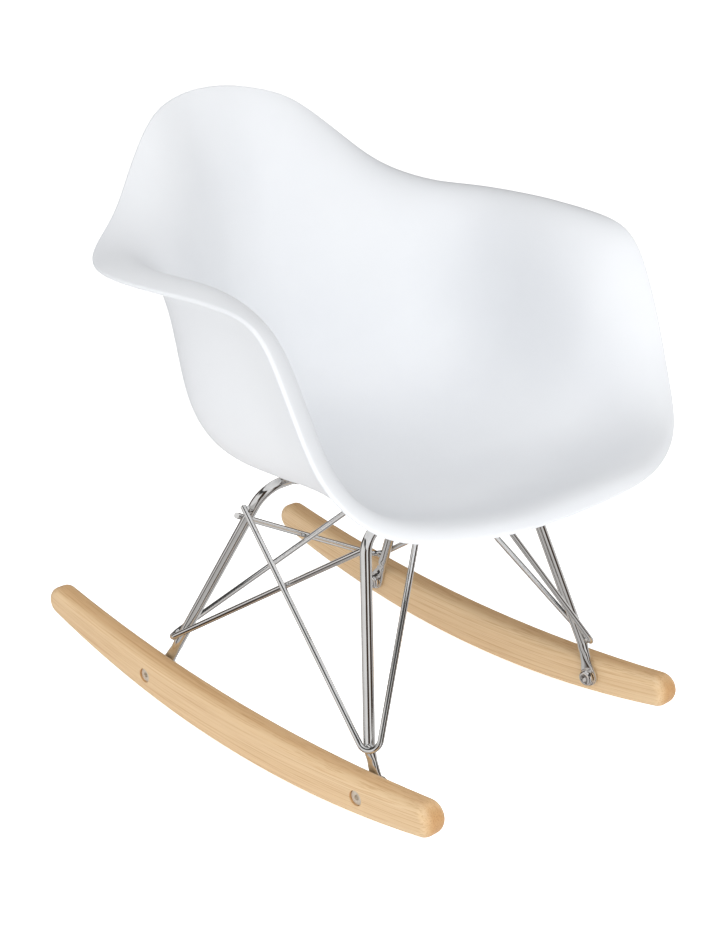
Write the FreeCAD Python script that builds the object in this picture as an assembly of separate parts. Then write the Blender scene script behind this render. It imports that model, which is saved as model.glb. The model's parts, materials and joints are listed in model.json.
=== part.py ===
"""Child's rocking armchair: a one-piece moulded bucket on a welded steel rod base and two wooden rockers.

Frame: Z up, the sitter faces -Y, X = 0 is the plane of symmetry and +X is the sitter's left.
The chair stands with the lowest line of its rockers on Z = 0.  Millimetres.
"""
import FreeCAD, Part
import math
import os

from FreeCAD import Vector as V

os.makedirs("parts", exist_ok=True)

# ---------------------------------------------------------------- driving dimensions
# moulded bucket
SHELL_T = 4.2
SEAT_CENTRE_Y = -47.0          # lowest point of the seat, fore and aft
SEAT_Z = 224.0                 # height of the seat's upper face there
GATE_R = 8.0                   # flat round the moulding gate at the seat's lowest point

# the rim's upper line from the front centre round the left arm to the back centre
RIM = [(0, -247, 249), (63, -244, 250), (117, -225, 250), (162, -199, 259),
       (187, -169, 293), (195, -144, 348), (198, -116, 394), (202, -66, 403),
       (209, -7, 403), (206, 51, 403), (181, 94, 406), (141, 119, 424),
       (108, 140, 454), (73, 158, 483), (34, 173, 494), (0, 175, 497)]

# section of the bucket at eight places along RIM: four guide points from the seat's lowest
# point out to the rim, each as (share of the way out, height)
SECTIONS = {
    0: [(0.22, 224), (0.55, 229), (0.82, 250), (0.96, 262)],     # front lip
    3: [(0.22, 224), (0.50, 228), (0.80, 250), (0.95, 270)],     # front corner
    5: [(0.20, 224), (0.40, 226), (0.78, 256), (0.82, 345)],     # front edge of the arm
    7: [(0.20, 224), (0.38, 226), (0.80, 264), (0.76, 420)],     # arm, front
    9: [(0.20, 224), (0.38, 226), (0.79, 262), (0.73, 424)],     # arm, rear
    11: [(0.20, 224), (0.44, 226), (0.74, 252), (0.74, 424)],    # shoulder
    13: [(0.20, 224), (0.50, 226), (0.74, 260), (0.80, 440)],    # side of the back
    15: [(0.22, 224), (0.54, 226), (0.75, 268), (0.87, 446)],    # back, centre
}

# rod base
LEG_R = 4.5
WIRE_R = 2.5
BAR_Z = 209.0                  # axis of the two cross bars under the seat
HOOP_BEND = 22.0
VERTEX_BEND = 9.0              # bend of a brace where it turns round its leg
WELD = 0.2                     # depth that a brace sinks into the rod it is welded to
BRACE_TAIL = 6.0               # length of a brace past its weld
PADDLE_T = 3.6                 # a leg's flattened foot
PADDLE_R = 8.0

# legs: corner at the cross bar, and the slope of the leg (run outwards and rearwards per mm down)
REAR_CORNER = (87.7, 13.3)
REAR_SLOPE = (0.220, 0.494)
FRONT_CORNER = (88.0, -103.9)
FRONT_SLOPE = (0.242, -0.284)
LEG_END_Z = 50.0               # where a round leg starts to be flattened

# heights at which the braces meet the legs
FRONT_BEND_Z = 61.0            # the front brace turns round the front leg
SIDE_ARM_Z = 188.0             # its side arm ends on the rear leg
BAR_ARM_X = 35.5               # its other arm ends on the front cross bar, this far from the middle
REAR_BEND_Z = 55.0             # the rear brace turns round the rear leg
FRONT_BUTT_Z = 194.0           # its side arm butts on the front leg
FAR_LEG_Z = 177.0              # its other arm ends on the far rear leg

# seat mounts
MOUNT_X = 58.0
TAB_T = 2.5
TAB_REACH = 12.0               # from the cross bar's axis in to the screw
TAB_W = 26.0
BOSS_R = 10.0
INSERT_R = 4.2
INSERT_L = 5.4
SCREW_R = 2.9

# rockers
ROCKER_X = 138.0               # middle of a rocker
ROCKER_T = 22.2
BOTTOM_R = 946.0
BOTTOM_Y = -21.4               # lowest line of the rockers
TOP_R = 1511.0
TOP_Y = -37.6
ROCKER_H = 37.6
BACK_END_Y = 234.23            # centres of the rounded ends
FRONT_END_Y = -219.2
ROCKER_EDGE = 8.0
REAR_BOLT = (103.6, 27.4)      # (y, z)
FRONT_BOLT = (-157.0, 26.9)

# rocker fixings
BOLT_R = 3.0
BOLT_HEAD_R = 6.8
BOLT_HEAD_H = 4.3
WASHER_T = 1.2
NUT_HEAD_R = 6.1
NUT_HEAD_T = 2.5
NUT_SLEEVE_R = 4.3
NUT_SOCKET_R = 2.6
NUT_RECESS = 1.5               # the nut's head lies this far below the rocker's face
CLEAR = 0.2

SIDES = (("left", 1.0), ("right", -1.0))


def save(shape, name):
    """Write one solid as its own node."""
    shape.exportStep("parts/%s.step" % name)
    print(name, len(shape.Solids), round(shape.Volume / 1000.0, 2), "cm3", shape.isValid())


def mirror(shape, side):
    """The shape as made, for +X, or its mirror image in X = 0."""
    return shape if side > 0 else shape.mirror(V(0, 0, 0), V(1, 0, 0))


# ---------------------------------------------------------------- bucket
def rim_point(t):
    """Point of the left half of the rim; t runs from 0 at the front to 15 at the back."""
    last = len(RIM) - 1

    def key(k):
        flip = -1.0 if k < 0 or k > last else 1.0
        k = abs(k) if k < 0 else (2 * last - k if k > last else k)
        return (flip * RIM[k][0], RIM[k][1], RIM[k][2])

    i = min(int(t), last - 1)
    u = t - i
    a, b, c, d = key(i - 1), key(i), key(i + 1), key(i + 2)
    return [0.5 * (2 * b[j] + (c[j] - a[j]) * u + (2 * a[j] - 5 * b[j] + 4 * c[j] - d[j]) * u * u
                   + (3 * b[j] - a[j] - 3 * c[j] + d[j]) * u ** 3) for j in range(3)]


def between(keys, values, x):
    """Smooth value at x through the given keys, level at both ends."""
    last = len(keys) - 1
    i = min(sum(1 for k in keys[1:] if k < x), last - 1)

    def slope(k):
        if k in (0, last):
            return 0.0
        return (values[k + 1] - values[k - 1]) / (keys[k + 1] - keys[k - 1])

    h = float(keys[i + 1] - keys[i])
    u = (x - keys[i]) / h
    return ((2 * u ** 3 - 3 * u ** 2 + 1) * values[i] + (u ** 3 - 2 * u ** 2 + u) * h * slope(i)
            + (3 * u ** 2 - 2 * u ** 3) * values[i + 1] + (u ** 3 - u ** 2) * h * slope(i + 1))


def section_weights(s):
    """Cubic B-spline weights of a section's six guide points at s, from 0 at the seat to 1 at the rim."""
    knots = [0, 0, 0, 0, 1, 2, 3, 3, 3, 3]
    x = min(s * 3.0, 2.999999)
    w = [1.0 if knots[i] <= x < knots[i + 1] else 0.0 for i in range(9)]
    for p in (1, 2, 3):
        for i in range(9 - p):
            left = knots[i + p] - knots[i]
            right = knots[i + p + 1] - knots[i + 1]
            a = (x - knots[i]) / left * w[i] if left else 0.0
            b = (knots[i + p + 1] - x) / right * w[i + 1] if right else 0.0
            w[i] = a + b
    return w[:6]


def section(t):
    """The six guide points of the bucket's upper face at rim place t."""
    rim = rim_point(t)
    out = (rim[0], rim[1] - SEAT_CENTRE_Y)
    length = math.hypot(out[0], out[1])
    keys = sorted(SECTIONS)
    guides = [(GATE_R / length, SEAT_Z)]
    for k in range(4):
        share = between(keys, [SECTIONS[q][k][0] for q in keys], t)
        height = between(keys, [SECTIONS[q][k][1] for q in keys], t)
        guides.append((share, height))
    points = [V(out[0] * share, SEAT_CENTRE_Y + out[1] * share, z) for share, z in guides]
    return points + [V(*rim)]


def face_grid(around, along):
    """Points of the upper face: rows run round the whole bucket, columns from the seat to the rim."""
    last = len(RIM) - 1
    weights = [section_weights(j / float(along)) for j in range(along + 1)]
    half = []
    for i in range(around + 1):
        guides = section(last * i / float(around))
        row = []
        for w in weights:
            p = V(0, 0, 0)
            for k in range(6):
                p = p + guides[k] * w[k]
            row.append(p)
        half.append(row)
    other = [[V(-p.x, p.y, p.z) for p in row] for row in half[-2:0:-1]]
    return half + other


def normals(grid):
    """Unit normals of a closed grid of points, upwards at the seat."""
    count, wide = len(grid), len(grid[0])
    result = []
    for i in range(count):
        row = []
        for j in range(wide):
            round_way = grid[(i + 1) % count][j] - grid[i - 1][j]
            out_way = grid[i][min(j + 1, wide - 1)] - grid[i][max(j - 1, 0)]
            n = out_way.cross(round_way)
            row.append(n / n.Length)
        result.append(row)
    sign = 1.0 if result[0][1].z > 0 else -1.0
    return [[n * sign for n in row] for row in result]


def surface(net):
    """Bicubic surface guided by a net that is closed one way and open the other."""
    count, wide = len(net), len(net[0])
    patch = Part.BSplineSurface()
    u_knots = [float(k) for k in range(count + 1)]
    v_knots = [float(k) for k in range(wide - 2)]
    v_mults = [4] + [1] * (wide - 4) + [4]
    patch.buildFromPolesMultsKnots(net, [1] * (count + 1), v_mults, u_knots, v_knots, True, False, 3, 3)
    return patch.toShape()


def disc(face, z):
    """Flat disc that closes a face's small hole at height z."""
    for edge in face.Edges:
        box = edge.BoundBox
        if edge.isClosed() and box.ZLength < 0.01 and abs(box.ZMin - z) < 0.01 and box.XLength < 4 * GATE_R:
            return Part.Face(Part.Wire(edge))
    raise ValueError("the face has no flat round opening")


def bucket():
    """Thin shell with a rounded rim and four mounting bosses moulded underneath."""
    upper = face_grid(45, 22)
    n = normals(upper)
    lower = []
    for i, row in enumerate(upper):
        new = [p - n[i][j] * SHELL_T for j, p in enumerate(row)]
        for j in (0, 1):
            new[j] = V(row[j].x, row[j].y, SEAT_Z - SHELL_T)
        lower.append(new)
    # the rim is a half round: its guide points bulge out past the two faces
    rim = []
    for i, row in enumerate(upper):
        a, b = row[-1], lower[i][-1]
        out_way = row[-1] - row[-2]
        out_way = out_way / out_way.Length
        bulge = out_way * (SHELL_T * 0.55)
        rim.append([a, a + bulge, b + bulge, b])
    faces = [surface(upper), surface(lower), surface(rim)]
    faces.append(disc(faces[0], SEAT_Z))
    faces.append(disc(faces[1], SEAT_Z - SHELL_T))
    skin = Part.Compound(faces)
    skin.sewShape(0.01)
    solid = Part.Solid(skin.Shells[0])
    if solid.Volume < 0:
        solid.reverse()
    for x, y in mount_places():
        low = BAR_Z + LEG_R + TAB_T
        boss = Part.makeCylinder(BOSS_R, SEAT_Z - 1.5 - low, V(x, y, low))
        solid = solid.fuse(boss)
    for x, y in mount_places():
        low = BAR_Z + LEG_R + TAB_T
        solid = solid.cut(Part.makeCylinder(INSERT_R, INSERT_L, V(x, y, low)))
    return solid.Solids[0]


# ---------------------------------------------------------------- rod work
def leg_point(corner, slope, z):
    """Point on the axis of a left leg at height z."""
    return V(corner[0] + slope[0] * (BAR_Z - z), corner[1] + slope[1] * (BAR_Z - z), z)


def bent_rod(points, bends, radius):
    """Round rod along straight runs, with an arc of the given radius at each inner point."""
    edges = []
    start = points[0]
    for i, bend in enumerate(bends):
        corner = points[i + 1]
        into = (points[i] - corner).normalize()
        out = (points[i + 2] - corner).normalize()
        half = into.getAngle(out) / 2.0
        reach = bend / math.tan(half)
        middle = (into + out).normalize()
        first = corner + into * reach
        last = corner + out * reach
        centre = corner + middle * (bend / math.sin(half))
        edges.append(Part.LineSegment(start, first).toShape())
        edges.append(Part.Arc(first, centre - middle * bend, last).toShape())
        start = last
    edges.append(Part.LineSegment(start, points[-1]).toShape())
    path = Part.Wire(edges)
    heading = points[1] - points[0]
    ring = Part.Wire(Part.makeCircle(radius, points[0], heading))
    return path.makePipeShell([ring], True, False)


def ellipse(centre, wide_way, thin_way, wide, thin):
    """Closed elliptical wire: half widths wide and thin along the two directions."""
    tip = centre + wide_way * wide
    side = centre + thin_way * thin
    return Part.Wire(Part.Ellipse(tip, side, centre).toShape())


def leg_foot(corner, slope, bolt):
    """Flattened, drilled end of a left leg, lying against its rocker's inner face."""
    face_x = ROCKER_X - ROCKER_T / 2.0
    middle_x = face_x - PADDLE_T / 2.0
    down = V(slope[0], slope[1], -1.0).normalize()
    top = leg_point(corner, slope, LEG_END_Z) - down * 3.0
    eye = V(middle_x, bolt[0], bolt[1])
    neck = V(middle_x, eye.y - slope[1] * 17.0, eye.z + 17.0)
    fall = (eye - neck).normalize()
    across = V(1, 0, 0).cross(fall).normalize()
    round_way = (V(1, 0, 0) - down * down.x).normalize()
    wide_way = down.cross(round_way)
    # the round rod is pressed flatter and wider on its way down into the flat eye
    half_way = neck + fall * 3.0 - V(0.7, 0, 0)
    taper = Part.makeLoft([
        ellipse(top, wide_way, round_way, LEG_R - 0.12, LEG_R - 0.13),
        ellipse(half_way, across, V(1, 0, 0), 4.8, 3.2),
        ellipse(neck + fall * 9.0, across, V(1, 0, 0), 6.0, PADDLE_T / 2.0 - 0.15),
    ], True, False)
    corners = [neck - across * 3.0, neck + across * 3.0, eye + across * PADDLE_R,
               eye + fall * PADDLE_R, eye - across * PADDLE_R]
    a, b, c, tip, d = [V(face_x - PADDLE_T, p.y, p.z) for p in corners]
    outline = Part.Wire([Part.LineSegment(a, b).toShape(), Part.LineSegment(b, c).toShape(),
                         Part.Arc(c, tip, d).toShape(), Part.LineSegment(d, a).toShape()])
    plate = Part.Face(outline).extrude(V(PADDLE_T, 0, 0))
    hole = Part.makeCylinder(BOLT_R + CLEAR, 3 * PADDLE_T, eye - V(PADDLE_T, 0, 0), V(1, 0, 0))
    return taper.fuse(plate).cut(hole)


def hoop(corner, slope, bolt):
    """A cross bar with its two legs, bent from one rod, and the legs' flattened feet."""
    left = leg_point(corner, slope, LEG_END_Z)
    points = [left, V(corner[0], corner[1], BAR_Z), V(-corner[0], corner[1], BAR_Z), V(-left.x, left.y, left.z)]
    rod = bent_rod(points, [HOOP_BEND, HOOP_BEND], LEG_R)
    foot = leg_foot(corner, slope, bolt)
    return rod.fuse(foot).fuse(mirror(foot, -1.0)).removeSplitter().Solids[0]


def beside(point, outward, distance=LEG_R + WIRE_R - WELD):
    """Axis of a brace that passes a rod's axis point on the outward side, welded to it."""
    return point + V(*outward).normalize() * distance


def brace(end_a, apex, end_b, tails):
    """V-shaped brace whose bend passes through the apex; each end runs its tail's length past its weld."""
    corner = apex
    for _ in range(8):
        way_a = (end_a - corner).normalize()
        way_b = (end_b - corner).normalize()
        half = way_a.getAngle(way_b) / 2.0
        middle = (way_a + way_b).normalize()
        corner = apex - middle * (VERTEX_BEND / math.sin(half) - VERTEX_BEND)
    return bent_rod([end_a + way_a * tails[0], corner, end_b + way_b * tails[1]], [VERTEX_BEND], WIRE_R)


def front_brace():
    """Left brace bent round the front leg: one arm to the rear leg, the other up to the front cross bar."""
    apex = beside(leg_point(FRONT_CORNER, FRONT_SLOPE, FRONT_BEND_Z), (0.55, -0.85, -0.37), 9.1)
    to_rear = beside(leg_point(REAR_CORNER, REAR_SLOPE, SIDE_ARM_Z), (1.0, -0.15, 0.1))
    to_bar = beside(V(BAR_ARM_X, FRONT_CORNER[1], BAR_Z), (0.0, -0.9, -0.45))
    return brace(to_rear, apex, to_bar, (BRACE_TAIL, 1.0))


def rear_brace(behind):
    """Left brace bent round the rear leg: one arm butts on the front leg inside the front brace,
    the other crosses to the far rear leg and passes behind it, or butts on it."""
    apex = beside(leg_point(REAR_CORNER, REAR_SLOPE, REAR_BEND_Z), (0.05, 0.9, 0.43), 8.4)
    to_front = beside(leg_point(FRONT_CORNER, FRONT_SLOPE, FRONT_BUTT_Z), (0.2, 0.95, 0.25), LEG_R - 1.0)
    leg = leg_point(REAR_CORNER, REAR_SLOPE, FAR_LEG_Z)
    far_leg = V(-leg.x, leg.y, leg.z)
    if behind:
        to_far = beside(far_leg, (-0.04, 0.83, 0.42))
        return brace(to_front, apex, to_far, (0.0, BRACE_TAIL))
    to_far = beside(far_leg, (0.04, -0.83, -0.42), WIRE_R)
    return brace(to_front, apex, to_far, (0.0, 0.0))


def fitted(shape, neighbours):
    """The largest piece of a brace after it is coped to the rods that it is welded to."""
    for other in neighbours:
        shape = shape.cut(other)
    return max(shape.Solids, key=lambda solid: solid.Volume)


# ---------------------------------------------------------------- seat mounts
def mount_rows():
    """Fore-and-aft place of each cross bar, and of the screws beside it."""
    return (("front", FRONT_CORNER[1], FRONT_CORNER[1] + TAB_REACH),
            ("rear", REAR_CORNER[1], REAR_CORNER[1] - TAB_REACH))


def mount_places():
    """Axes of the four seat screws."""
    return [(side * MOUNT_X, screw_y) for _, _, screw_y in mount_rows() for _, side in SIDES]


def mount_tab(bar_y, screw_y):
    """Steel plate welded on top of a left cross bar, drilled beside it for the seat screw."""
    inner = screw_y + math.copysign(10.0, screw_y - bar_y)
    outer = bar_y - math.copysign(4.0, screw_y - bar_y)
    low, high = min(inner, outer), max(inner, outer)
    z = BAR_Z + LEG_R
    tab = Part.makeBox(TAB_W, high - low, TAB_T, V(MOUNT_X - TAB_W / 2.0, low, z))
    tab = tab.makeFillet(4.0, [e for e in tab.Edges if e.BoundBox.ZLength > TAB_T - 0.1])
    return tab.cut(Part.makeCylinder(SCREW_R + 0.4, TAB_T, V(MOUNT_X, screw_y, z)))


def insert(screw_y):
    """Threaded brass sleeve moulded into a boss."""
    z = BAR_Z + LEG_R + TAB_T
    body = Part.makeCylinder(INSERT_R, INSERT_L - 0.2, V(MOUNT_X, screw_y, z))
    return body.cut(Part.makeCylinder(SCREW_R + 0.1, INSERT_L, V(MOUNT_X, screw_y, z)))


def hexagon(radius, z):
    """Flat hexagon round Z at height z, radius to its corners."""
    turns = [math.radians(60 * k) for k in range(7)]
    corners = [V(radius * math.cos(turn), radius * math.sin(turn), z) for turn in turns]
    return Part.Face(Part.makePolygon(corners))


def domed_head(radius, height, socket):
    """Button head with a hexagon socket, on Z from 0 down to -height."""
    top = 0.55 * radius
    profile = [Part.LineSegment(V(0, 0, 0), V(radius, 0, 0)).toShape(),
               Part.LineSegment(V(radius, 0, 0), V(radius, 0, -0.25 * height)).toShape(),
               Part.Arc(V(radius, 0, -0.25 * height), V(0.86 * radius, 0, -0.78 * height),
                        V(top, 0, -height)).toShape(),
               Part.LineSegment(V(top, 0, -height), V(0, 0, -height)).toShape(),
               Part.LineSegment(V(0, 0, -height), V(0, 0, 0)).toShape()]
    head = Part.Face(Part.Wire(profile)).revolve(V(0, 0, 0), V(0, 0, 1), 360)
    return head.cut(hexagon(socket, -height).extrude(V(0, 0, 0.55 * height)))


def seat_screw(screw_y):
    """Button-headed screw up through a washer and the tab into the insert."""
    low = BAR_Z + LEG_R - WASHER_T
    screw = domed_head(5.3, 3.2, 2.2)
    screw = screw.fuse(Part.makeCylinder(SCREW_R, WASHER_T + TAB_T + INSERT_L - 0.7)).removeSplitter()
    screw.translate(V(MOUNT_X, screw_y, low))
    return screw


def ring(radius, bore, thickness):
    """Flat washer on Z from 0 up."""
    return Part.makeCylinder(radius, thickness).cut(Part.makeCylinder(bore, thickness))


def seat_washer(screw_y):
    washer = ring(6.2, SCREW_R + 0.3, WASHER_T)
    washer.translate(V(MOUNT_X, screw_y, BAR_Z + LEG_R - WASHER_T))
    return washer


# ---------------------------------------------------------------- rockers
def end_circle(y):
    """Centre height and radius of the rounded end at y that meets both long curves smoothly."""
    def heights(r):
        low = BOTTOM_R - math.sqrt((BOTTOM_R - r) ** 2 - (y - BOTTOM_Y) ** 2)
        high = ROCKER_H + TOP_R - math.sqrt((TOP_R + r) ** 2 - (y - TOP_Y) ** 2)
        return low, high

    small, large = 5.0, ROCKER_H
    for _ in range(60):
        r = (small + large) / 2.0
        low, high = heights(r)
        if low < high:
            small = r
        else:
            large = r
    return heights(r)[0], r


def yz(y, z):
    return V(0, y, z)


def rocker():
    """Left rocker: a crescent with rounded ends and edges, drilled and counterbored twice."""
    low_centre = yz(BOTTOM_Y, BOTTOM_R)
    high_centre = yz(TOP_Y, ROCKER_H + TOP_R)
    ends = []
    for y in (FRONT_END_Y, BACK_END_Y):
        z, r = end_circle(y)
        centre = yz(y, z)
        under = centre + (centre - low_centre).normalize() * r
        over = centre + (high_centre - centre).normalize() * r
        tip = centre + yz(math.copysign(r, y), 0.0)
        ends.append((under, tip, over))
    front, back = ends
    lowest = low_centre - yz(0, BOTTOM_R)
    middle = high_centre - yz(0, TOP_R)
    outline = Part.Wire([Part.Arc(front[0], lowest, back[0]).toShape(),
                         Part.Arc(back[0], back[1], back[2]).toShape(),
                         Part.Arc(back[2], middle, front[2]).toShape(),
                         Part.Arc(front[2], front[1], front[0]).toShape()])
    inner_x = ROCKER_X - ROCKER_T / 2.0
    body = Part.Face(outline).extrude(V(ROCKER_T, 0, 0))
    body.translate(V(inner_x, 0, 0))
    body = body.makeFillet(ROCKER_EDGE, [e for e in body.Edges if e.BoundBox.XLength < 0.01])
    bore_r = NUT_SLEEVE_R + CLEAR
    seat_depth = NUT_HEAD_T + NUT_RECESS
    for y, z in (FRONT_BOLT, REAR_BOLT):
        body = body.cut(Part.makeCylinder(bore_r, ROCKER_T, V(inner_x, y, z), V(1, 0, 0)))
        start = V(inner_x + ROCKER_T - seat_depth, y, z)
        body = body.cut(Part.makeCylinder(NUT_HEAD_R + CLEAR, seat_depth, start, V(1, 0, 0)))
    return body


def on_x(shape, x, bolt):
    """Turn a shape made on Z so that its Z runs along +X from x at a rocker bolt."""
    shape.rotate(V(0, 0, 0), V(0, 1, 0), 90)
    shape.translate(V(x, bolt[0], bolt[1]))
    return shape


def rocker_bolt(bolt):
    """Domed bolt from the inside, through washer and paddle into the barrel nut."""
    start = ROCKER_X - ROCKER_T / 2.0 - PADDLE_T - WASHER_T
    shank = Part.makeCylinder(BOLT_R, WASHER_T + PADDLE_T + 15.0)
    return on_x(domed_head(BOLT_HEAD_R, BOLT_HEAD_H, 2.9).fuse(shank).removeSplitter(), start, bolt)


def rocker_washer(bolt):
    start = ROCKER_X - ROCKER_T / 2.0 - PADDLE_T - WASHER_T
    return on_x(ring(BOLT_HEAD_R + 0.7, BOLT_R + CLEAR, WASHER_T), start, bolt)


def barrel_nut(bolt):
    """Sleeve nut whose flat head sits in the counterbore of the rocker's outer face."""
    outer = ROCKER_X + ROCKER_T / 2.0 - NUT_RECESS
    sleeve_l = 14.0
    top = sleeve_l + NUT_HEAD_T
    head = Part.makeCylinder(NUT_HEAD_R, NUT_HEAD_T, V(0, 0, sleeve_l))
    nut = Part.makeCylinder(NUT_SLEEVE_R, sleeve_l).fuse(head).removeSplitter()
    nut = nut.cut(Part.makeCylinder(BOLT_R + 0.1, sleeve_l - 1.0))
    rim = [e for e in nut.Edges if abs(e.BoundBox.ZMin - top) < 0.01 and e.BoundBox.ZLength < 0.01]
    nut = nut.makeFillet(0.6, rim)
    nut = nut.cut(hexagon(NUT_SOCKET_R, top).extrude(V(0, 0, -2.2)))
    return on_x(nut, outer - top, bolt)


# ---------------------------------------------------------------- assembly
save(bucket(), "seat_shell")
front_hoop = hoop(FRONT_CORNER, FRONT_SLOPE, FRONT_BOLT)
rear_hoop = hoop(REAR_CORNER, REAR_SLOPE, REAR_BOLT)
save(front_hoop, "front_hoop")
save(rear_hoop, "rear_hoop")

# the right rear brace is fitted last, against the left one that it crosses at the middle
crossed = [front_hoop, rear_hoop]
for side_name, side in SIDES:
    front = fitted(mirror(front_brace(), side), [front_hoop, rear_hoop])
    rear = fitted(mirror(rear_brace(side_name == "left"), side), crossed + [front])
    crossed.append(rear)
    save(front, "brace_front_" + side_name)
    save(rear, "brace_rear_" + side_name)
    save(mirror(rocker(), side), "rocker_" + side_name)
    for row, bar_y, screw_y in mount_rows():
        place = "%s_%s" % (row, side_name)
        save(mirror(mount_tab(bar_y, screw_y), side), "mount_tab_" + place)
        save(mirror(insert(screw_y), side), "seat_insert_" + place)
        save(mirror(seat_washer(screw_y), side), "seat_washer_" + place)
        save(mirror(seat_screw(screw_y), side), "seat_screw_" + place)
    for row, bolt in (("front", FRONT_BOLT), ("rear", REAR_BOLT)):
        place = "%s_%s" % (row, side_name)
        save(mirror(rocker_bolt(bolt), side), "rocker_bolt_" + place)
        save(mirror(rocker_washer(bolt), side), "rocker_washer_" + place)
        save(mirror(barrel_nut(bolt), side), "barrel_nut_" + place)
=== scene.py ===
import json
import math
import random

import bpy
import numpy as np
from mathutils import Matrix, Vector


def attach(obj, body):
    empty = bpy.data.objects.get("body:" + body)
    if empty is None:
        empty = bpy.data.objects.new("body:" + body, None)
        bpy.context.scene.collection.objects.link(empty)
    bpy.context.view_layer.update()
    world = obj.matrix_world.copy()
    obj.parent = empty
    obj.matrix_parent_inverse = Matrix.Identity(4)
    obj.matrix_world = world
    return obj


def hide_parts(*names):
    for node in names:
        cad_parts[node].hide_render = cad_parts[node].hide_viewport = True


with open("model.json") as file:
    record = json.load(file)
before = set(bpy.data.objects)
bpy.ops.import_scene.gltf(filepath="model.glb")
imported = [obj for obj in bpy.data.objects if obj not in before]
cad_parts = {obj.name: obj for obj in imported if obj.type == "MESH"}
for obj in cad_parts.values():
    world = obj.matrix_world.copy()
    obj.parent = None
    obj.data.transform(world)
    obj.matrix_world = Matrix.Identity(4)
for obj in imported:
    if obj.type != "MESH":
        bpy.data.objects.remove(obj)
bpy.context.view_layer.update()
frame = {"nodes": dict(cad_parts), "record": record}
BODY = "root"
MM = 0.001

# ---------------------------------------------------------------- sizes, in millimetres
SHELL_T = 4.2
SEAT_CENTRE_Y = -47.0          # lowest point of the seat, fore and aft
SEAT_Z = 224.0                 # height of the seat's upper face there
GATE_R = 8.0                   # flat round the moulding gate

# the rim's upper line from the front centre round the left arm to the back centre
RIM = [(0, -247, 249), (63, -244, 250), (117, -225, 250), (162, -199, 259),
       (187, -169, 293), (195, -144, 348), (198, -116, 394), (202, -66, 403),
       (209, -7, 403), (206, 51, 403), (181, 94, 406), (141, 119, 424),
       (108, 140, 454), (73, 158, 483), (34, 173, 493.9), (0, 175, 496.9)]

# section of the bucket at eight places along RIM: four guide points from the seat's lowest
# point out to the rim, each as (share of the way out, height)
SECTIONS = {
    0: [(0.22, 224), (0.55, 229), (0.82, 250), (0.96, 262)],     # front lip
    3: [(0.22, 224), (0.50, 228), (0.80, 250), (0.95, 270)],     # front corner
    5: [(0.20, 224), (0.40, 226), (0.78, 256), (0.82, 345)],     # front edge of the arm
    7: [(0.20, 224), (0.38, 226), (0.80, 264), (0.76, 420)],     # arm, front
    9: [(0.20, 224), (0.38, 226), (0.79, 262), (0.73, 424)],     # arm, rear
    11: [(0.20, 224), (0.44, 226), (0.74, 252), (0.74, 424)],    # shoulder
    13: [(0.20, 224), (0.50, 226), (0.74, 260), (0.80, 440)],    # side of the back
    15: [(0.22, 224), (0.54, 226), (0.75, 268), (0.87, 446)],    # back, centre
}
AROUND = 120                   # quads round half of the bucket
ALONG = 60                     # quads from the seat's lowest point to the rim

# rod base
LEG_R = 4.5
BAR_Z = 209.0
HOOP_BEND = 22.0
PADDLE_T = 3.6
PADDLE_R = 8.0
PADDLE_X = 125.1               # middle of a foot, against its rocker's inner face
ROUND_Z = 56.0                 # a leg is round above this height, and pressed flat below it
REAR_CORNER = (87.7, 13.3)
REAR_SLOPE = (0.220, 0.494)
FRONT_CORNER = (88.0, -103.9)
FRONT_SLOPE = (0.242, -0.284)
REAR_BOLT = (103.6, 27.4)
FRONT_BOLT = (-157.0, 26.9)

# rings moulded under the seat round the threaded inserts
BOSS_PLACES = {"front_left": (58.0, -91.9), "front_right": (-58.0, -91.9),
               "rear_left": (58.0, 1.3), "rear_right": (-58.0, 1.3)}
# section of a ring, (radius, height): bore, lower face with a soft edge, side, fillet into the seat
BOSS_SECTION = [(4.25, 221.6), (4.25, 216.5), (4.6, 216.0), (9.2, 216.0), (9.75, 216.2), (10.0, 216.8),
                (10.0, 218.8), (10.3, 219.9), (11.1, 221.0), (12.2, 221.6)]
GRAIN_R = 1.2                  # the rockers' grain follows a bend of this radius, in metres

# weld beads of the left side: place, size, and how far each is drawn out along X, Y and Z
BEADS = {
    "front_apex": ((126.6, -149.6, 59.0), 2.6, (0.9, 1.5, 0.9)),
    "rear_apex": ((121.9, 94.0, 57.0), 2.5, (1.0, 1.3, 0.9)),
    "side_arm_end": ((96.6, 23.4, 190.4), 2.2, (1.2, 1.0, 1.3)),
    "bar_arm_end": ((35.5, -107.4, 207.2), 2.3, (1.5, 1.0, 1.0)),
    "butt_end": ((92.2, -105.4, 193.0), 2.6, (1.2, 1.0, 1.2)),
    "far_arm_end": ((94.8, 31.6, 179.4), 2.3, (1.2, 1.1, 1.3)),
}

# ---------------------------------------------------------------- camera and floor
CAMERA_AZIMUTH = -43.58        # degrees from the front, towards the chair's right
CAMERA_ELEVATION = 21.55
CAMERA_DISTANCE = 1.4934       # metres
CAMERA_TARGET = (0.0622, 0.0597, 0.1759)
LENS = 65.8
FLOOR_HALF = 30000.0
FLOOR_Z = -0.2

# ---------------------------------------------------------------- light
SKY = 0.45                     # even light from all round
FLOOR_GLOW = 0.46              # the floor is lit from below too, as a light table is
FLOOR_SHOWN = 0.80             # its glow as the camera sees it
# name, azimuth, elevation, distance in m, width in m, power in W
LIGHTS = [("front_high", -25, 48, 3.0, 2.2, 16.0),
          ("right_high", -65, 48, 3.0, 2.2, 19.0),
          ("side_high", -105, 48, 3.0, 2.2, 9.0),
          ("rear_high", 130, 45, 3.0, 2.2, 4.0),
          ("front_low", -15, 14, 3.0, 2.2, 28.0)]
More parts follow.
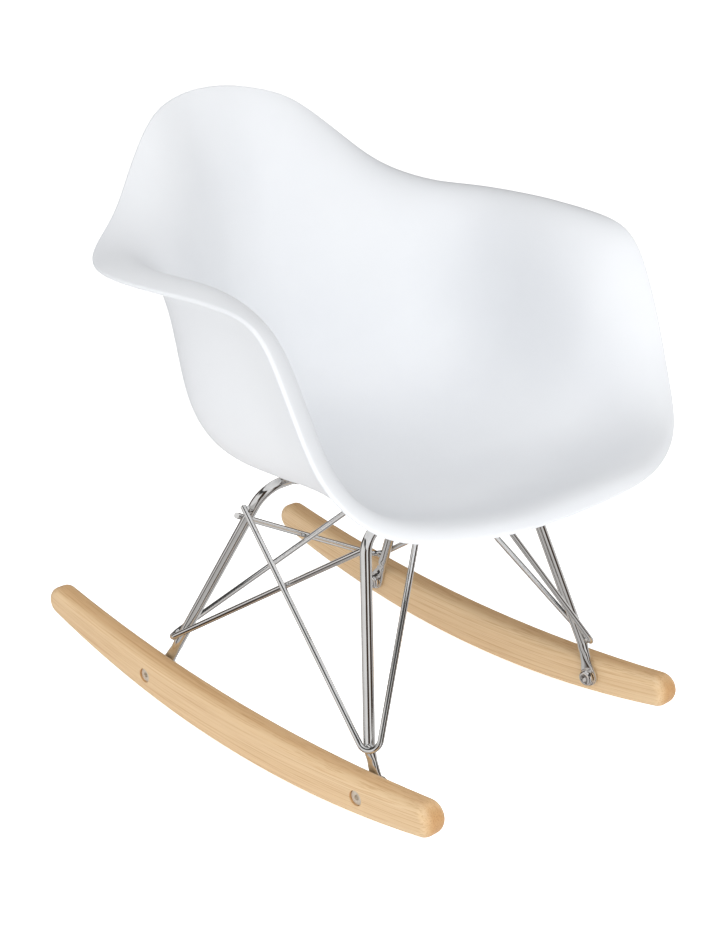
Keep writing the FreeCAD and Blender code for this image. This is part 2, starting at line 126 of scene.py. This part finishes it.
# What gloss reflects. Cards stand round the chair at compass angles counted from -X through -Y,
# with dark gaps between them; under them is the pale table, over them the dark ceiling.
CARDS = [(0, 0.85), (22, 0.90), (27, 0.03), (58, 0.02), (63, 0.65), (80, 1.0), (90, 0.70),
         (95, 0.02), (129, 0.02), (134, 0.50), (162, 0.70), (168, 1.0), (190, 1.0), (196, 0.04),
         (233, 0.02), (238, 0.50), (260, 0.75), (265, 0.02), (296, 0.02), (301, 0.85), (360, 0.85)]
TABLE = [(0, 0.50), (34, 0.56), (39, 0.03), (50, 0.02), (56, 0.50), (98, 0.56), (103, 0.02),
         (117, 0.02), (123, 0.42), (160, 0.56), (188, 0.75), (222, 0.50), (228, 0.02),
         (246, 0.02), (252, 0.42), (318, 0.60), (324, 0.03), (334, 0.03), (340, 0.50), (360, 0.50)]
CEILING = 0.06


# ---------------------------------------------------------------- helpers
def mesh_object(name, points, faces, smooth=True):
    """A mesh piece from points in millimetres."""
    mesh = bpy.data.meshes.new(name)
    mesh.from_pydata([tuple(c * MM for c in p) for p in points], [], faces)
    mesh.update()
    piece = bpy.data.objects.new(name, mesh)
    bpy.context.collection.objects.link(piece)
    for polygon in mesh.polygons:
        polygon.use_smooth = smooth
    return piece


class Nodes:
    """Short way to build a node material."""

    def __init__(self, name):
        self.material = bpy.data.materials.new(name)
        self.material.use_nodes = True
        self.tree = self.material.node_tree
        self.tree.nodes.clear()
        self.output = self.add("ShaderNodeOutputMaterial")
        self.shader = self.add("ShaderNodeBsdfPrincipled")
        self.link(self.shader, "BSDF", self.output, "Surface")

    def add(self, kind, **settings):
        node = self.tree.nodes.new(kind)
        for key, value in settings.items():
            if hasattr(node, key):
                setattr(node, key, value)
            else:
                node.inputs[key.replace("_", " ")].default_value = value
        return node

    def link(self, a, out, b, into):
        self.tree.links.new(a.outputs[out], b.inputs[into])

    def stretched(self, scale, bent=None):
        """Object coordinates, or bent ones, multiplied by scale for grain that runs one way."""
        mapping = self.add("ShaderNodeMapping")
        mapping.inputs["Scale"].default_value = scale
        if bent:
            self.link(bent, "Vector", mapping, "Vector")
        else:
            self.link(self.add("ShaderNodeTexCoord"), "Object", mapping, "Vector")
        return mapping

    def bent(self, radius):
        """Object coordinates with Y and Z turned into the way along and across an upward bend."""
        parts = self.add("ShaderNodeSeparateXYZ")
        self.link(self.add("ShaderNodeTexCoord"), "Object", parts, "Vector")
        depth = self.add("ShaderNodeMath", operation="SUBTRACT")
        depth.inputs[0].default_value = radius
        self.link(parts, "Z", depth, 1)
        turn = self.add("ShaderNodeMath", operation="ARCTAN2")
        self.link(parts, "Y", turn, 0)
        self.link(depth, "Value", turn, 1)
        along = self.add("ShaderNodeMath", operation="MULTIPLY")
        self.link(turn, "Value", along, 0)
        along.inputs[1].default_value = radius
        flat = self.add("ShaderNodeCombineXYZ")
        self.link(parts, "Y", flat, "Y")
        self.link(depth, "Value", flat, "Z")
        across = self.add("ShaderNodeVectorMath", operation="LENGTH")
        self.link(flat, "Vector", across, 0)
        joined = self.add("ShaderNodeCombineXYZ")
        self.link(parts, "X", joined, "X")
        self.link(along, "Value", joined, "Y")
        self.link(across, "Value", joined, "Z")
        return joined

    def noise(self, place, scale, detail=4.0, roughness=0.5, distortion=0.0):
        node = self.add("ShaderNodeTexNoise", Scale=scale, Detail=detail, Roughness=roughness,
                        Distortion=distortion)
        self.link(place, "Vector", node, "Vector")
        return node

    def ramp(self, source, out, stops):
        node = self.add("ShaderNodeValToRGB")
        marks = node.color_ramp.elements
        while len(marks) < len(stops):
            marks.new(0.5)
        for mark, (position, colour) in zip(marks, stops):
            mark.position = position
            mark.color = (*colour, 1.0)
        self.link(source, out, node, "Fac")
        return node

    def mix(self, factor, a, b, blend="MIX"):
        """Mix of two colours, each a (node, output) pair."""
        node = self.add("ShaderNodeMix", data_type="RGBA", blend_type=blend)
        node.inputs[0].default_value = factor
        self.tree.links.new(a[0].outputs[a[1]], node.inputs[6])
        self.tree.links.new(b[0].outputs[b[1]], node.inputs[7])
        return node

    def scaled(self, source, out, low, high):
        """A 0 to 1 value moved into the range low to high."""
        node = self.add("ShaderNodeMapRange")
        node.inputs["To Min"].default_value = low
        node.inputs["To Max"].default_value = high
        self.link(source, out, node, "Value")
        return node

    def bump(self, source, out, strength, distance, normal=None):
        node = self.add("ShaderNodeBump", Strength=strength, Distance=distance)
        self.link(source, out, node, "Height")
        if normal:
            self.link(normal, "Normal", node, "Normal")
        self.link(node, "Normal", self.shader, "Normal")
        return node


# ---------------------------------------------------------------- materials
def plastic():
    """White moulded polypropylene: fine satin grain, faint unevenness in its sheen."""
    m = Nodes("moulded_white")
    place = m.stretched((1, 1, 1))
    broad = m.noise(place, 9.0, 3.0)
    tone = m.ramp(broad, "Fac", [(0.3, (0.78, 0.797, 0.825)), (0.7, (0.81, 0.827, 0.85))])
    m.link(tone, "Color", m.shader, "Base Color")
    smear = m.noise(place, 35.0, 5.0, 0.6)
    rough = m.scaled(smear, "Fac", 0.46, 0.56)
    m.link(rough, "Result", m.shader, "Roughness")
    m.shader.inputs["IOR"].default_value = 1.49
    m.shader.inputs["Specular IOR Level"].default_value = 0.4
    grain = m.noise(place, 1800.0, 3.0, 0.6)
    fine = m.bump(grain, "Fac", 0.06, 0.0002)
    wave = m.noise(place, 26.0, 2.0)
    m.bump(wave, "Fac", 0.05, 0.0006, fine)
    return m.material


def chrome(name, base, rough_low, rough_high):
    """Bright plating with faint drawing lines and small variations in gloss."""
    m = Nodes(name)
    place = m.stretched((1, 1, 1))
    cloud = m.noise(place, 60.0, 4.0)
    tone = m.ramp(cloud, "Fac", [(0.35, tuple(c * 0.93 for c in base)), (0.65, base)])
    m.link(tone, "Color", m.shader, "Base Color")
    m.shader.inputs["Metallic"].default_value = 1.0
    smear = m.noise(place, 140.0, 6.0, 0.65)
    rough = m.scaled(smear, "Fac", rough_low, rough_high)
    m.link(rough, "Result", m.shader, "Roughness")
    ripple = m.noise(place, 420.0, 3.0)
    m.bump(ripple, "Fac", 0.05, 0.0003)
    return m.material


def wood():
    """Clear-lacquered ash: fine grain that follows the board's bend, painted shade on its upper and lower
    faces, darker end grain.
    """
    m = Nodes("pale_ash")
    bent = m.bent(GRAIN_R)
    rings = m.noise(m.stretched((1.0, 0.007, 1.0), bent), 330.0, 3.0, 0.55, 0.1)
    ring_tone = m.ramp(rings, "Fac", [(0.30, (0.70, 0.475, 0.255)), (0.5, (0.765, 0.545, 0.315)),
                                      (0.70, (0.805, 0.595, 0.36))])
    broad = m.noise(m.stretched((1.0, 0.06, 1.0), bent), 30.0, 2.0, 0.5, 0.3)
    broad_tone = m.ramp(broad, "Fac", [(0.35, (0.755, 0.53, 0.30)), (0.65, (0.80, 0.59, 0.35))])
    base = m.mix(0.40, (ring_tone, "Color"), (broad_tone, "Color"))
    streak = m.noise(m.stretched((1.0, 0.009, 1.0), bent), 1000.0, 3.0, 0.6)
    pores = m.ramp(streak, "Fac", [(0.38, (0.70, 0.55, 0.40)), (0.48, (1.0, 1.0, 1.0))])
    grained = m.mix(0.50, (base, 2), (pores, "Color"), "MULTIPLY")

    # painted shade: the upper and lower faces and their rounded edges are darkened and warmed by which
    # way they face; the ends cut across the fibres and take more lacquer
    facing = m.add("ShaderNodeNewGeometry")
    split = m.add("ShaderNodeSeparateXYZ")
    m.link(facing, "Normal", split, "Vector")
    side = m.add("ShaderNodeMath", operation="ABSOLUTE")
    m.link(split, "X", side, 0)
    # painted shade on the faces that point up or down, away from the sides
    painted_face_shade = m.ramp(side, "Value", [(0.10, (0.92, 0.83, 0.73)), (0.70, (1.0, 1.0, 1.0))])
    face_shaded = m.mix(1.0, (grained, 2), (painted_face_shade, "Color"), "MULTIPLY")
    end = m.add("ShaderNodeMath", operation="ABSOLUTE")
    m.link(split, "Y", end, 0)
    tip = m.ramp(end, "Value", [(0.40, (1.0, 1.0, 1.0)), (0.90, (0.82, 0.72, 0.60))])
    toned = m.mix(1.0, (face_shaded, 2), (tip, "Color"), "MULTIPLY")
    m.link(toned, 2, m.shader, "Base Color")
    rough = m.scaled(streak, "Fac", 0.50, 0.36)
    m.link(rough, "Result", m.shader, "Roughness")
    m.shader.inputs["Coat Weight"].default_value = 0.10
    m.shader.inputs["Coat Roughness"].default_value = 0.3
    m.bump(streak, "Fac", 0.15, 0.0003)
    return m.material


def pale_plate():
    """Pale brushed plating of the barrel nuts, clouded and slightly warm."""
    m = Nodes("nut_plate")
    place = m.stretched((1, 1, 1))
    cloud = m.noise(place, 300.0, 5.0, 0.6)
    tone = m.ramp(cloud, "Fac", [(0.3, (0.68, 0.60, 0.49)), (0.7, (0.82, 0.75, 0.65))])
    m.link(tone, "Color", m.shader, "Base Color")
    m.shader.inputs["Metallic"].default_value = 0.45
    rough = m.scaled(cloud, "Fac", 0.34, 0.48)
    m.link(rough, "Result", m.shader, "Roughness")
    m.bump(cloud, "Fac", 0.1, 0.0002)
    return m.material


def brass():
    m = Nodes("insert_brass")
    place = m.stretched((1, 1, 1))
    cloud = m.noise(place, 400.0, 4.0)
    tone = m.ramp(cloud, "Fac", [(0.3, (0.55, 0.38, 0.16)), (0.7, (0.70, 0.52, 0.26))])
    m.link(tone, "Color", m.shader, "Base Color")
    m.shader.inputs["Metallic"].default_value = 1.0
    rough = m.scaled(cloud, "Fac", 0.3, 0.45)
    m.link(rough, "Result", m.shader, "Roughness")
    return m.material


# ---------------------------------------------------------------- bucket
def rim_point(t):
    """Point of the left half of the rim; t runs from 0 at the front to 15 at the back."""
    last = len(RIM) - 1

    def key(k):
        flip = -1.0 if k < 0 or k > last else 1.0
        k = abs(k) if k < 0 else (2 * last - k if k > last else k)
        return np.array((flip * RIM[k][0], RIM[k][1], RIM[k][2]), float)

    i = min(int(t), last - 1)
    u = t - i
    a, b, c, d = key(i - 1), key(i), key(i + 1), key(i + 2)
    return 0.5 * (2 * b + (c - a) * u + (2 * a - 5 * b + 4 * c - d) * u * u
                  + (3 * b - a - 3 * c + d) * u ** 3)


def between(keys, values, x):
    """Smooth value at x through the given keys, level at both ends."""
    last = len(keys) - 1
    i = min(sum(1 for k in keys[1:] if k < x), last - 1)

    def slope(k):
        if k in (0, last):
            return 0.0
        return (values[k + 1] - values[k - 1]) / (keys[k + 1] - keys[k - 1])

    h = float(keys[i + 1] - keys[i])
    u = (x - keys[i]) / h
    return ((2 * u ** 3 - 3 * u ** 2 + 1) * values[i] + (u ** 3 - 2 * u ** 2 + u) * h * slope(i)
            + (3 * u ** 2 - 2 * u ** 3) * values[i + 1] + (u ** 3 - u ** 2) * h * slope(i + 1))


def section_weights(s):
    """Cubic B-spline weights of a section's six guide points; s is 0 at the seat and 1 at the rim."""
    knots = [0, 0, 0, 0, 1, 2, 3, 3, 3, 3]
    x = min(s * 3.0, 2.999999)
    w = [1.0 if knots[i] <= x < knots[i + 1] else 0.0 for i in range(9)]
    for p in (1, 2, 3):
        for i in range(9 - p):
            left = knots[i + p] - knots[i]
            right = knots[i + p + 1] - knots[i + 1]
            a = (x - knots[i]) / left * w[i] if left else 0.0
            b = (knots[i + p + 1] - x) / right * w[i + 1] if right else 0.0
            w[i] = a + b
    return w[:6]


def section(t):
    """The six guide points of the bucket's upper face at rim place t."""
    rim = rim_point(t)
    out = np.array((rim[0], rim[1] - SEAT_CENTRE_Y))
    keys = sorted(SECTIONS)
    guides = [(GATE_R / np.linalg.norm(out), SEAT_Z)]
    for k in range(4):
        share = between(keys, [SECTIONS[q][k][0] for q in keys], t)
        height = between(keys, [SECTIONS[q][k][1] for q in keys], t)
        guides.append((share, height))
    points = [(out[0] * share, SEAT_CENTRE_Y + out[1] * share, z) for share, z in guides]
    return np.array(points + [tuple(rim)])


def smoothed(rings, times):
    """Rows of a closed grid, each averaged a little with the rows beside it."""
    for _ in range(times):
        rings = 0.25 * np.roll(rings, 1, 0) + 0.5 * rings + 0.25 * np.roll(rings, -1, 0)
    return rings


def bucket_faces():
    """Upper and lower faces of the bucket as closed grids of points, and their normals."""
    last = len(RIM) - 1
    half = np.array([section(last * i / AROUND) for i in range(AROUND + 1)])
    guides = np.concatenate([half, (half * (-1, 1, 1))[-2:0:-1]])
    guides = smoothed(guides, 10)
    weights = np.array([section_weights(j / ALONG) for j in range(ALONG + 1)])
    upper = np.einsum("jk,ikc->ijc", weights, guides)
    round_way = np.roll(upper, -1, 0) - np.roll(upper, 1, 0)
    out_way = np.gradient(upper, axis=1)
    n = np.cross(out_way, round_way)
    n /= np.linalg.norm(n, axis=2, keepdims=True)
    if n[0, 1, 2] < 0:
        n = -n
    return upper, upper - n * SHELL_T, n


def bucket():
    """The moulded seat as one closed skin: upper face, rounded rim, lower face."""
    upper, lower, n = bucket_faces()
    lower[:, 0, 2] = SEAT_Z - SHELL_T
    out_way = upper[:, -1] - upper[:, -2]
    out_way /= np.linalg.norm(out_way, axis=1, keepdims=True)
    middle = (upper[:, -1] + lower[:, -1]) / 2.0
    steps = 8
    rim = []
    for k in range(1, steps):
        turn = math.pi * k / steps
        rim.append(middle + (n[:, -1] * math.cos(turn) + out_way * math.sin(turn)) * SHELL_T / 2.0)
    columns = [upper[:, j] for j in range(ALONG + 1)] + rim + [lower[:, j] for j in range(ALONG, -1, -1)]
    grid = np.stack(columns, 1)
    count, wide = grid.shape[:2]
    points = grid.reshape(-1, 3).tolist()
    faces = []
    for i in range(count):
        k = (i + 1) % count
        for j in range(wide - 1):
            faces.append((i * wide + j, k * wide + j, k * wide + j + 1, i * wide + j + 1))
    for column, z in ((0, SEAT_Z), (wide - 1, SEAT_Z - SHELL_T)):
        centre = len(points)
        points.append([0.0, SEAT_CENTRE_Y, z])
        for i in range(count):
            a, b = i * wide + column, ((i + 1) % count) * wide + column
            faces.append((a, centre, b) if column == 0 else (b, centre, a))
    return mesh_object("bucket_shell", points, faces)


def boss(name, x, y):
    """Ring moulded under the seat, turned about a threaded insert's axis."""
    sides = 48
    points = []
    for r, z in BOSS_SECTION:
        for k in range(sides):
            turn = 2.0 * math.pi * k / sides
            points.append((x + r * math.cos(turn), y + r * math.sin(turn), z))
    count = len(BOSS_SECTION)
    faces = []
    for i in range(count):
        j = (i + 1) % count
        for k in range(sides):
            after = (k + 1) % sides
            faces.append((i * sides + k, i * sides + after, j * sides + after, j * sides + k))
    return mesh_object(name, points, faces)


# ---------------------------------------------------------------- rod work
def leg_point(corner, slope, z):
    """Point on the axis of a left leg at height z."""
    drop = BAR_Z - z
    return np.array((corner[0] + slope[0] * drop, corner[1] + slope[1] * drop, z))


def unit(v):
    return v / np.linalg.norm(v)


def rounded_path(points, bend, step=2.0):
    """Points along straight runs with an arc of the given radius at each inner corner."""
    path = [points[0]]
    for before, corner, after in zip(points, points[1:], points[2:]):
        into, out = unit(before - corner), unit(after - corner)
        half = math.acos(np.clip(into @ out, -1, 1)) / 2.0
        reach = bend / math.tan(half)
        centre = corner + unit(into + out) * bend / math.sin(half)
        first, last = corner + into * reach, corner + out * reach
        path.append(first)
        a, b = unit(first - centre), unit(last - centre)
        sweep = math.acos(np.clip(a @ b, -1, 1))
        for k in range(1, 13):
            t = k / 12.0
            way = (a * math.sin((1 - t) * sweep) + b * math.sin(t * sweep)) / math.sin(sweep)
            path.append(centre + way * bend)
    path.append(points[-1])
    dense = [path[0]]
    for a, b in zip(path, path[1:]):
        count = max(1, int(np.linalg.norm(b - a) / step))
        dense += [a + (b - a) * k / count for k in range(1, count + 1)]
    return dense


def skin(name, rings):
    """Closed tube through rings of points, with a fan at each end."""
    count = len(rings[0])
    points = [p for ring in rings for p in ring]
    faces = []
    for i in range(len(rings) - 1):
        for k in range(count):
            low, high, after = i * count, (i + 1) * count, (k + 1) % count
            faces.append((low + k, low + after, high + after, high + k))
    for start, ring in ((0, rings[0]), ((len(rings) - 1) * count, rings[-1])):
        centre = len(points)
        points.append(np.mean(ring, 0))
        for k in range(count):
            a, b = start + k, start + (k + 1) % count
            faces.append((b, a, centre) if start == 0 else (a, b, centre))
    return mesh_object(name, points, faces)


def blend(t, stops):
    """Value at t through (place, value) stops, easing between them."""
    for (a, low), (b, high) in zip(stops, stops[1:]):
        if t <= b:
            u = max(0.0, (t - a) / (b - a))
            return low + (high - low) * u * u * (3.0 - 2.0 * u)
    return stops[-1][1]


def foot_rings(corner, slope, bolt):
    """Rings from the tip of a left leg's flattened foot up into its round part."""
    sides = 36
    turns = [2.0 * math.pi * k / sides for k in range(sides)]
    eye = np.array((PADDLE_X, bolt[0], bolt[1]))
    top = leg_point(corner, slope, ROUND_Z)
    way = unit(leg_point(corner, slope, 0.0) - top)
    flat_way = unit(np.array((0.0, top[1] - eye[1], top[2] - eye[2])))
    rings = []
    # the eye: round end, then sides that draw in to the leg's width
    drops = [-1.0 + 0.001, -0.985, -0.95, -0.88, -0.76, -0.6, -0.4, -0.2, 0.0]
    for share in drops:
        wide = PADDLE_R * math.sqrt(1.0 - share * share)
        rings.append((eye + flat_way * PADDLE_R * share, flat_way, wide, PADDLE_T / 2.0, 5.0))
    length = float(np.linalg.norm((top - eye)[1:]))
    for k in range(1, 25):
        t = k / 24.0
        along = eye + flat_way * length * t
        lean = blend(t, [(0.0, 0.0), (0.42, 0.0), (1.0, 1.0)])
        x = PADDLE_X + (top[0] - PADDLE_X) * blend(t, [(0.0, 0.0), (0.30, 0.0), (1.0, 1.0)])
        wide = blend(t, [(0.0, PADDLE_R), (0.5, 4.9), (0.8, 4.55), (1.0, LEG_R)])
        thin = blend(t, [(0.0, PADDLE_T / 2.0), (0.22, PADDLE_T / 2.0), (0.62, 3.1),
                         (0.9, LEG_R), (1.0, LEG_R)])
        power = blend(t, [(0.0, 5.0), (0.25, 4.0), (0.7, 2.0), (1.0, 2.0)])
        heading = unit(flat_way * (1.0 - lean) - way * lean)
        rings.append((np.array((x, along[1], along[2])), heading, wide, thin, power))
    result = []
    for centre, heading, wide, thin, power in rings:
        out = unit(np.array((1.0, 0.0, 0.0)) - heading * heading[0])
        across = np.cross(heading, out)
        ring = []
        for turn in turns:
            c, s = math.cos(turn), math.sin(turn)
            ring.append(centre + out * thin * math.copysign(abs(c) ** (2.0 / power), c)
                        + across * wide * math.copysign(abs(s) ** (2.0 / power), s))
        result.append(np.array(ring))
    return result


def hoop(name, corner, slope, bolt):
    """Cross bar and two legs bent from one rod, each leg pressed flat at its foot."""
    foot = foot_rings(corner, slope, bolt)
    left = leg_point(corner, slope, ROUND_Z)
    points = [left, np.array((corner[0], corner[1], BAR_Z)), np.array((-corner[0], corner[1], BAR_Z)),
              left * (-1, 1, 1)]
    path = rounded_path(points, HOOP_BEND)
    rings = list(foot)
    last = rings[-1]
    for i in range(1, len(path)):
        heading = unit(path[min(i + 1, len(path) - 1)] - path[i - 1])
        spokes = []
        for p in last:
            spoke = p - path[i - 1]
            spoke = spoke - heading * (spoke @ heading)
            spokes.append(path[i] + unit(spoke) * LEG_R)
        last = np.array(spokes)
        rings.append(last)
    far = [ring * (-1, 1, 1) for ring in foot[::-1]]
    # the far foot's rings start at the point nearest to the rod's own first point
    first = min(range(len(far[0])), key=lambda k: np.linalg.norm(far[0][k] - last[0]))
    turned = [np.roll(ring, -first, 0) for ring in far]
    if np.linalg.norm(turned[0][1] - last[1]) > np.linalg.norm(turned[0][-1] - last[1]):
        turned = [np.roll(ring[::-1], 1, 0) for ring in turned]
    return skin(name, rings[:-1] + turned)


def bead(name, place, size, seed, stretch=(1.0, 1.0, 1.0)):
    """Small uneven lump of weld metal."""
    rough = random.Random(seed)
    rows, cols = 9, 14
    phases = [rough.uniform(0, 2 * math.pi) for _ in range(4)]
    rings = []
    for i in range(rows + 1):
        lift = math.pi * (i + 0.15) / (rows + 0.3)
        ring = []
        for k in range(cols):
            turn = 2 * math.pi * k / cols
            wave = 1.0 + 0.10 * math.sin(3 * turn + phases[0]) * math.sin(2 * lift + phases[1])
            wave += 0.07 * math.sin(5 * turn + phases[2] + 3 * lift)
            r = size * wave
            ring.append(np.array(place) + np.array((math.sin(lift) * math.cos(turn) * stretch[0],
                                                    math.sin(lift) * math.sin(turn) * stretch[1],
                                                    math.cos(lift) * stretch[2])) * r)
        rings.append(ring)
    return skin(name, rings)


# ---------------------------------------------------------------- stage
def surroundings():
    """Even soft light for the surfaces, and cards, table and ceiling for their gloss."""
    world = bpy.data.worlds.new("studio")
    bpy.context.scene.world = world
    world.use_nodes = True
    tree = world.node_tree

    def add(kind, **settings):
        node = tree.nodes.new(kind)
        for key, value in settings.items():
            setattr(node, key, value)
        return node

    def band(split, low, high):
        """0 below height low on the unit sphere, 1 above height high."""
        node = add("ShaderNodeMapRange", interpolation_type="SMOOTHSTEP")
        node.inputs["From Min"].default_value = low
        node.inputs["From Max"].default_value = high
        tree.links.new(split.outputs["Z"], node.inputs["Value"])
        return node

    def around(share, stops):
        node = add("ShaderNodeValToRGB")
        marks = node.color_ramp.elements
        while len(marks) < len(stops):
            marks.new(0.5)
        for mark, (angle, grey) in zip(marks, stops):
            mark.position = angle / 360.0
            mark.color = (grey + 0.03 * (1.0 - grey), grey + 0.01 * (1.0 - grey), grey, 1.0)
        tree.links.new(share.outputs["Result"], node.inputs["Fac"])
        return node

    def mix(factor, a, b):
        """Blend of two colours, each a node's output or a grey."""
        node = add("ShaderNodeMix", data_type="RGBA")
        tree.links.new(factor, node.inputs[0])
        for socket, value in ((6, a), (7, b)):
            if isinstance(value, float):
                node.inputs[socket].default_value = (value, value, value, 1.0)
            else:
                tree.links.new(value, node.inputs[socket])
        return node.outputs[2]

    place = add("ShaderNodeTexCoord")
    split = add("ShaderNodeSeparateXYZ")
    tree.links.new(place.outputs["Generated"], split.inputs["Vector"])
    turn = add("ShaderNodeMath", operation="ARCTAN2")
    tree.links.new(split.outputs["Y"], turn.inputs[0])
    tree.links.new(split.outputs["X"], turn.inputs[1])
    share = add("ShaderNodeMapRange")
    share.inputs["From Min"].default_value = -math.pi
    share.inputs["From Max"].default_value = math.pi
    tree.links.new(turn.outputs["Value"], share.inputs["Value"])
    low = mix(band(split, -0.25, -0.05).outputs["Result"], around(share, TABLE).outputs["Color"],
              around(share, CARDS).outputs["Color"])
    gloss = mix(band(split, 0.45, 0.65).outputs["Result"], low, CEILING)
    path = add("ShaderNodeLightPath")
    light = mix(path.outputs["Is Glossy Ray"], SKY, gloss)
    seen = mix(path.outputs["Is Camera Ray"], light, 1.0)
    tree.links.new(seen, tree.nodes["Background"].inputs["Color"])


def direction(azimuth, elevation):
    """Unit vector from the chair towards a place at this azimuth and elevation, in degrees."""
    a, e = math.radians(azimuth), math.radians(elevation)
    return Vector((math.sin(a) * math.cos(e), -math.cos(a) * math.cos(e), math.sin(e)))


def soft_light(name, azimuth, elevation, distance, size, power):
    """Square soft light aimed at the chair, out of the camera's sight."""
    light = bpy.data.lights.new(name, "AREA")
    light.size = size
    light.energy = power
    lamp = bpy.data.objects.new(name, light)
    back = direction(azimuth, elevation)
    lamp.location = Vector((0.0, 0.0, 0.25)) + back * distance
    lamp.rotation_euler = back.to_track_quat("Z", "Y").to_euler()
    lamp.visible_camera = False
    lamp.visible_glossy = False    # gloss comes from the cards
    bpy.context.collection.objects.link(lamp)


def stage():
    """Wide pale floor, soft lights and the camera."""
    corners = [(x * FLOOR_HALF, y * FLOOR_HALF, FLOOR_Z) for x, y in ((-1, -1), (1, -1), (1, 1), (-1, 1))]
    floor = mesh_object("floor", corners, [(0, 1, 2, 3)], False)
    m = Nodes("floor_paint")
    place = m.stretched((1, 1, 1))
    cloud = m.noise(place, 3.0, 2.0)
    tone = m.ramp(cloud, "Fac", [(0.3, (0.88, 0.88, 0.88)), (0.7, (0.90, 0.90, 0.90))])
    m.link(tone, "Color", m.shader, "Base Color")
    m.shader.inputs["Roughness"].default_value = 0.9
    m.shader.inputs["Emission Color"].default_value = (1.0, 1.0, 1.0, 1.0)
    path = m.add("ShaderNodeLightPath")
    glow = m.scaled(path, "Is Camera Ray", FLOOR_GLOW, FLOOR_SHOWN)
    m.link(glow, "Result", m.shader, "Emission Strength")
    floor.data.materials.append(m.material)
    floor.visible_glossy = False

    bpy.context.scene.view_settings.view_transform = "Standard"
    surroundings()
    for name, azimuth, elevation, distance, width, power in LIGHTS:
        soft_light(name, azimuth, elevation, distance, width, power)

    back = direction(CAMERA_AZIMUTH, CAMERA_ELEVATION)
    data = bpy.data.cameras.new("camera")
    data.lens = LENS
    data.sensor_width = 36.0
    camera = bpy.data.objects.new("camera", data)
    camera.location = Vector(CAMERA_TARGET) + back * CAMERA_DISTANCE
    camera.rotation_euler = back.to_track_quat("Z", "Y").to_euler()
    bpy.context.collection.objects.link(camera)
    bpy.context.scene.camera = camera


stage()
white = plastic()
chrome_rod = chrome("chrome_rod", (0.80, 0.795, 0.785), 0.05, 0.11)
chrome_fixing = chrome("chrome_fixing", (0.78, 0.755, 0.735), 0.06, 0.13)
materials = {"moulded_shell": white, "chrome_rod": chrome_rod, "rocker_wood": wood(),
             "fixing_chrome": chrome_fixing, "nut_steel": pale_plate(), "insert_brass": brass()}
for row in frame["record"]["subparts"]:
    node = frame["nodes"][row["node"]]
    node.data.materials.clear()
    node.data.materials.append(materials[row["material_slot"]])

for name, corner, slope, bolt in (("front_hoop", FRONT_CORNER, FRONT_SLOPE, FRONT_BOLT),
                                  ("rear_hoop", REAR_CORNER, REAR_SLOPE, REAR_BOLT)):
    rod = hoop(name + "_rod", corner, slope, bolt)
    rod.data.materials.append(chrome_rod)
    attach(rod, BODY)
    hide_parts(name)

for number, (name, (place, size, stretch)) in enumerate(BEADS.items()):
    for side_name, side in (("left", 1.0), ("right", -1.0)):
        middle = np.array(place) * (side, 1, 1)
        lump = bead("weld_%s_%s" % (name, side_name), middle, size, 7 * number + int(side), stretch)
        lump.data.materials.append(chrome_rod)
        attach(lump, BODY)

shell = bucket()
shell.data.materials.append(white)
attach(shell, BODY)
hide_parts("seat_shell")

for name, (x, y) in BOSS_PLACES.items():
    ring = boss("seat_boss_" + name, x, y)
    ring.data.materials.append(white)
    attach(ring, BODY)
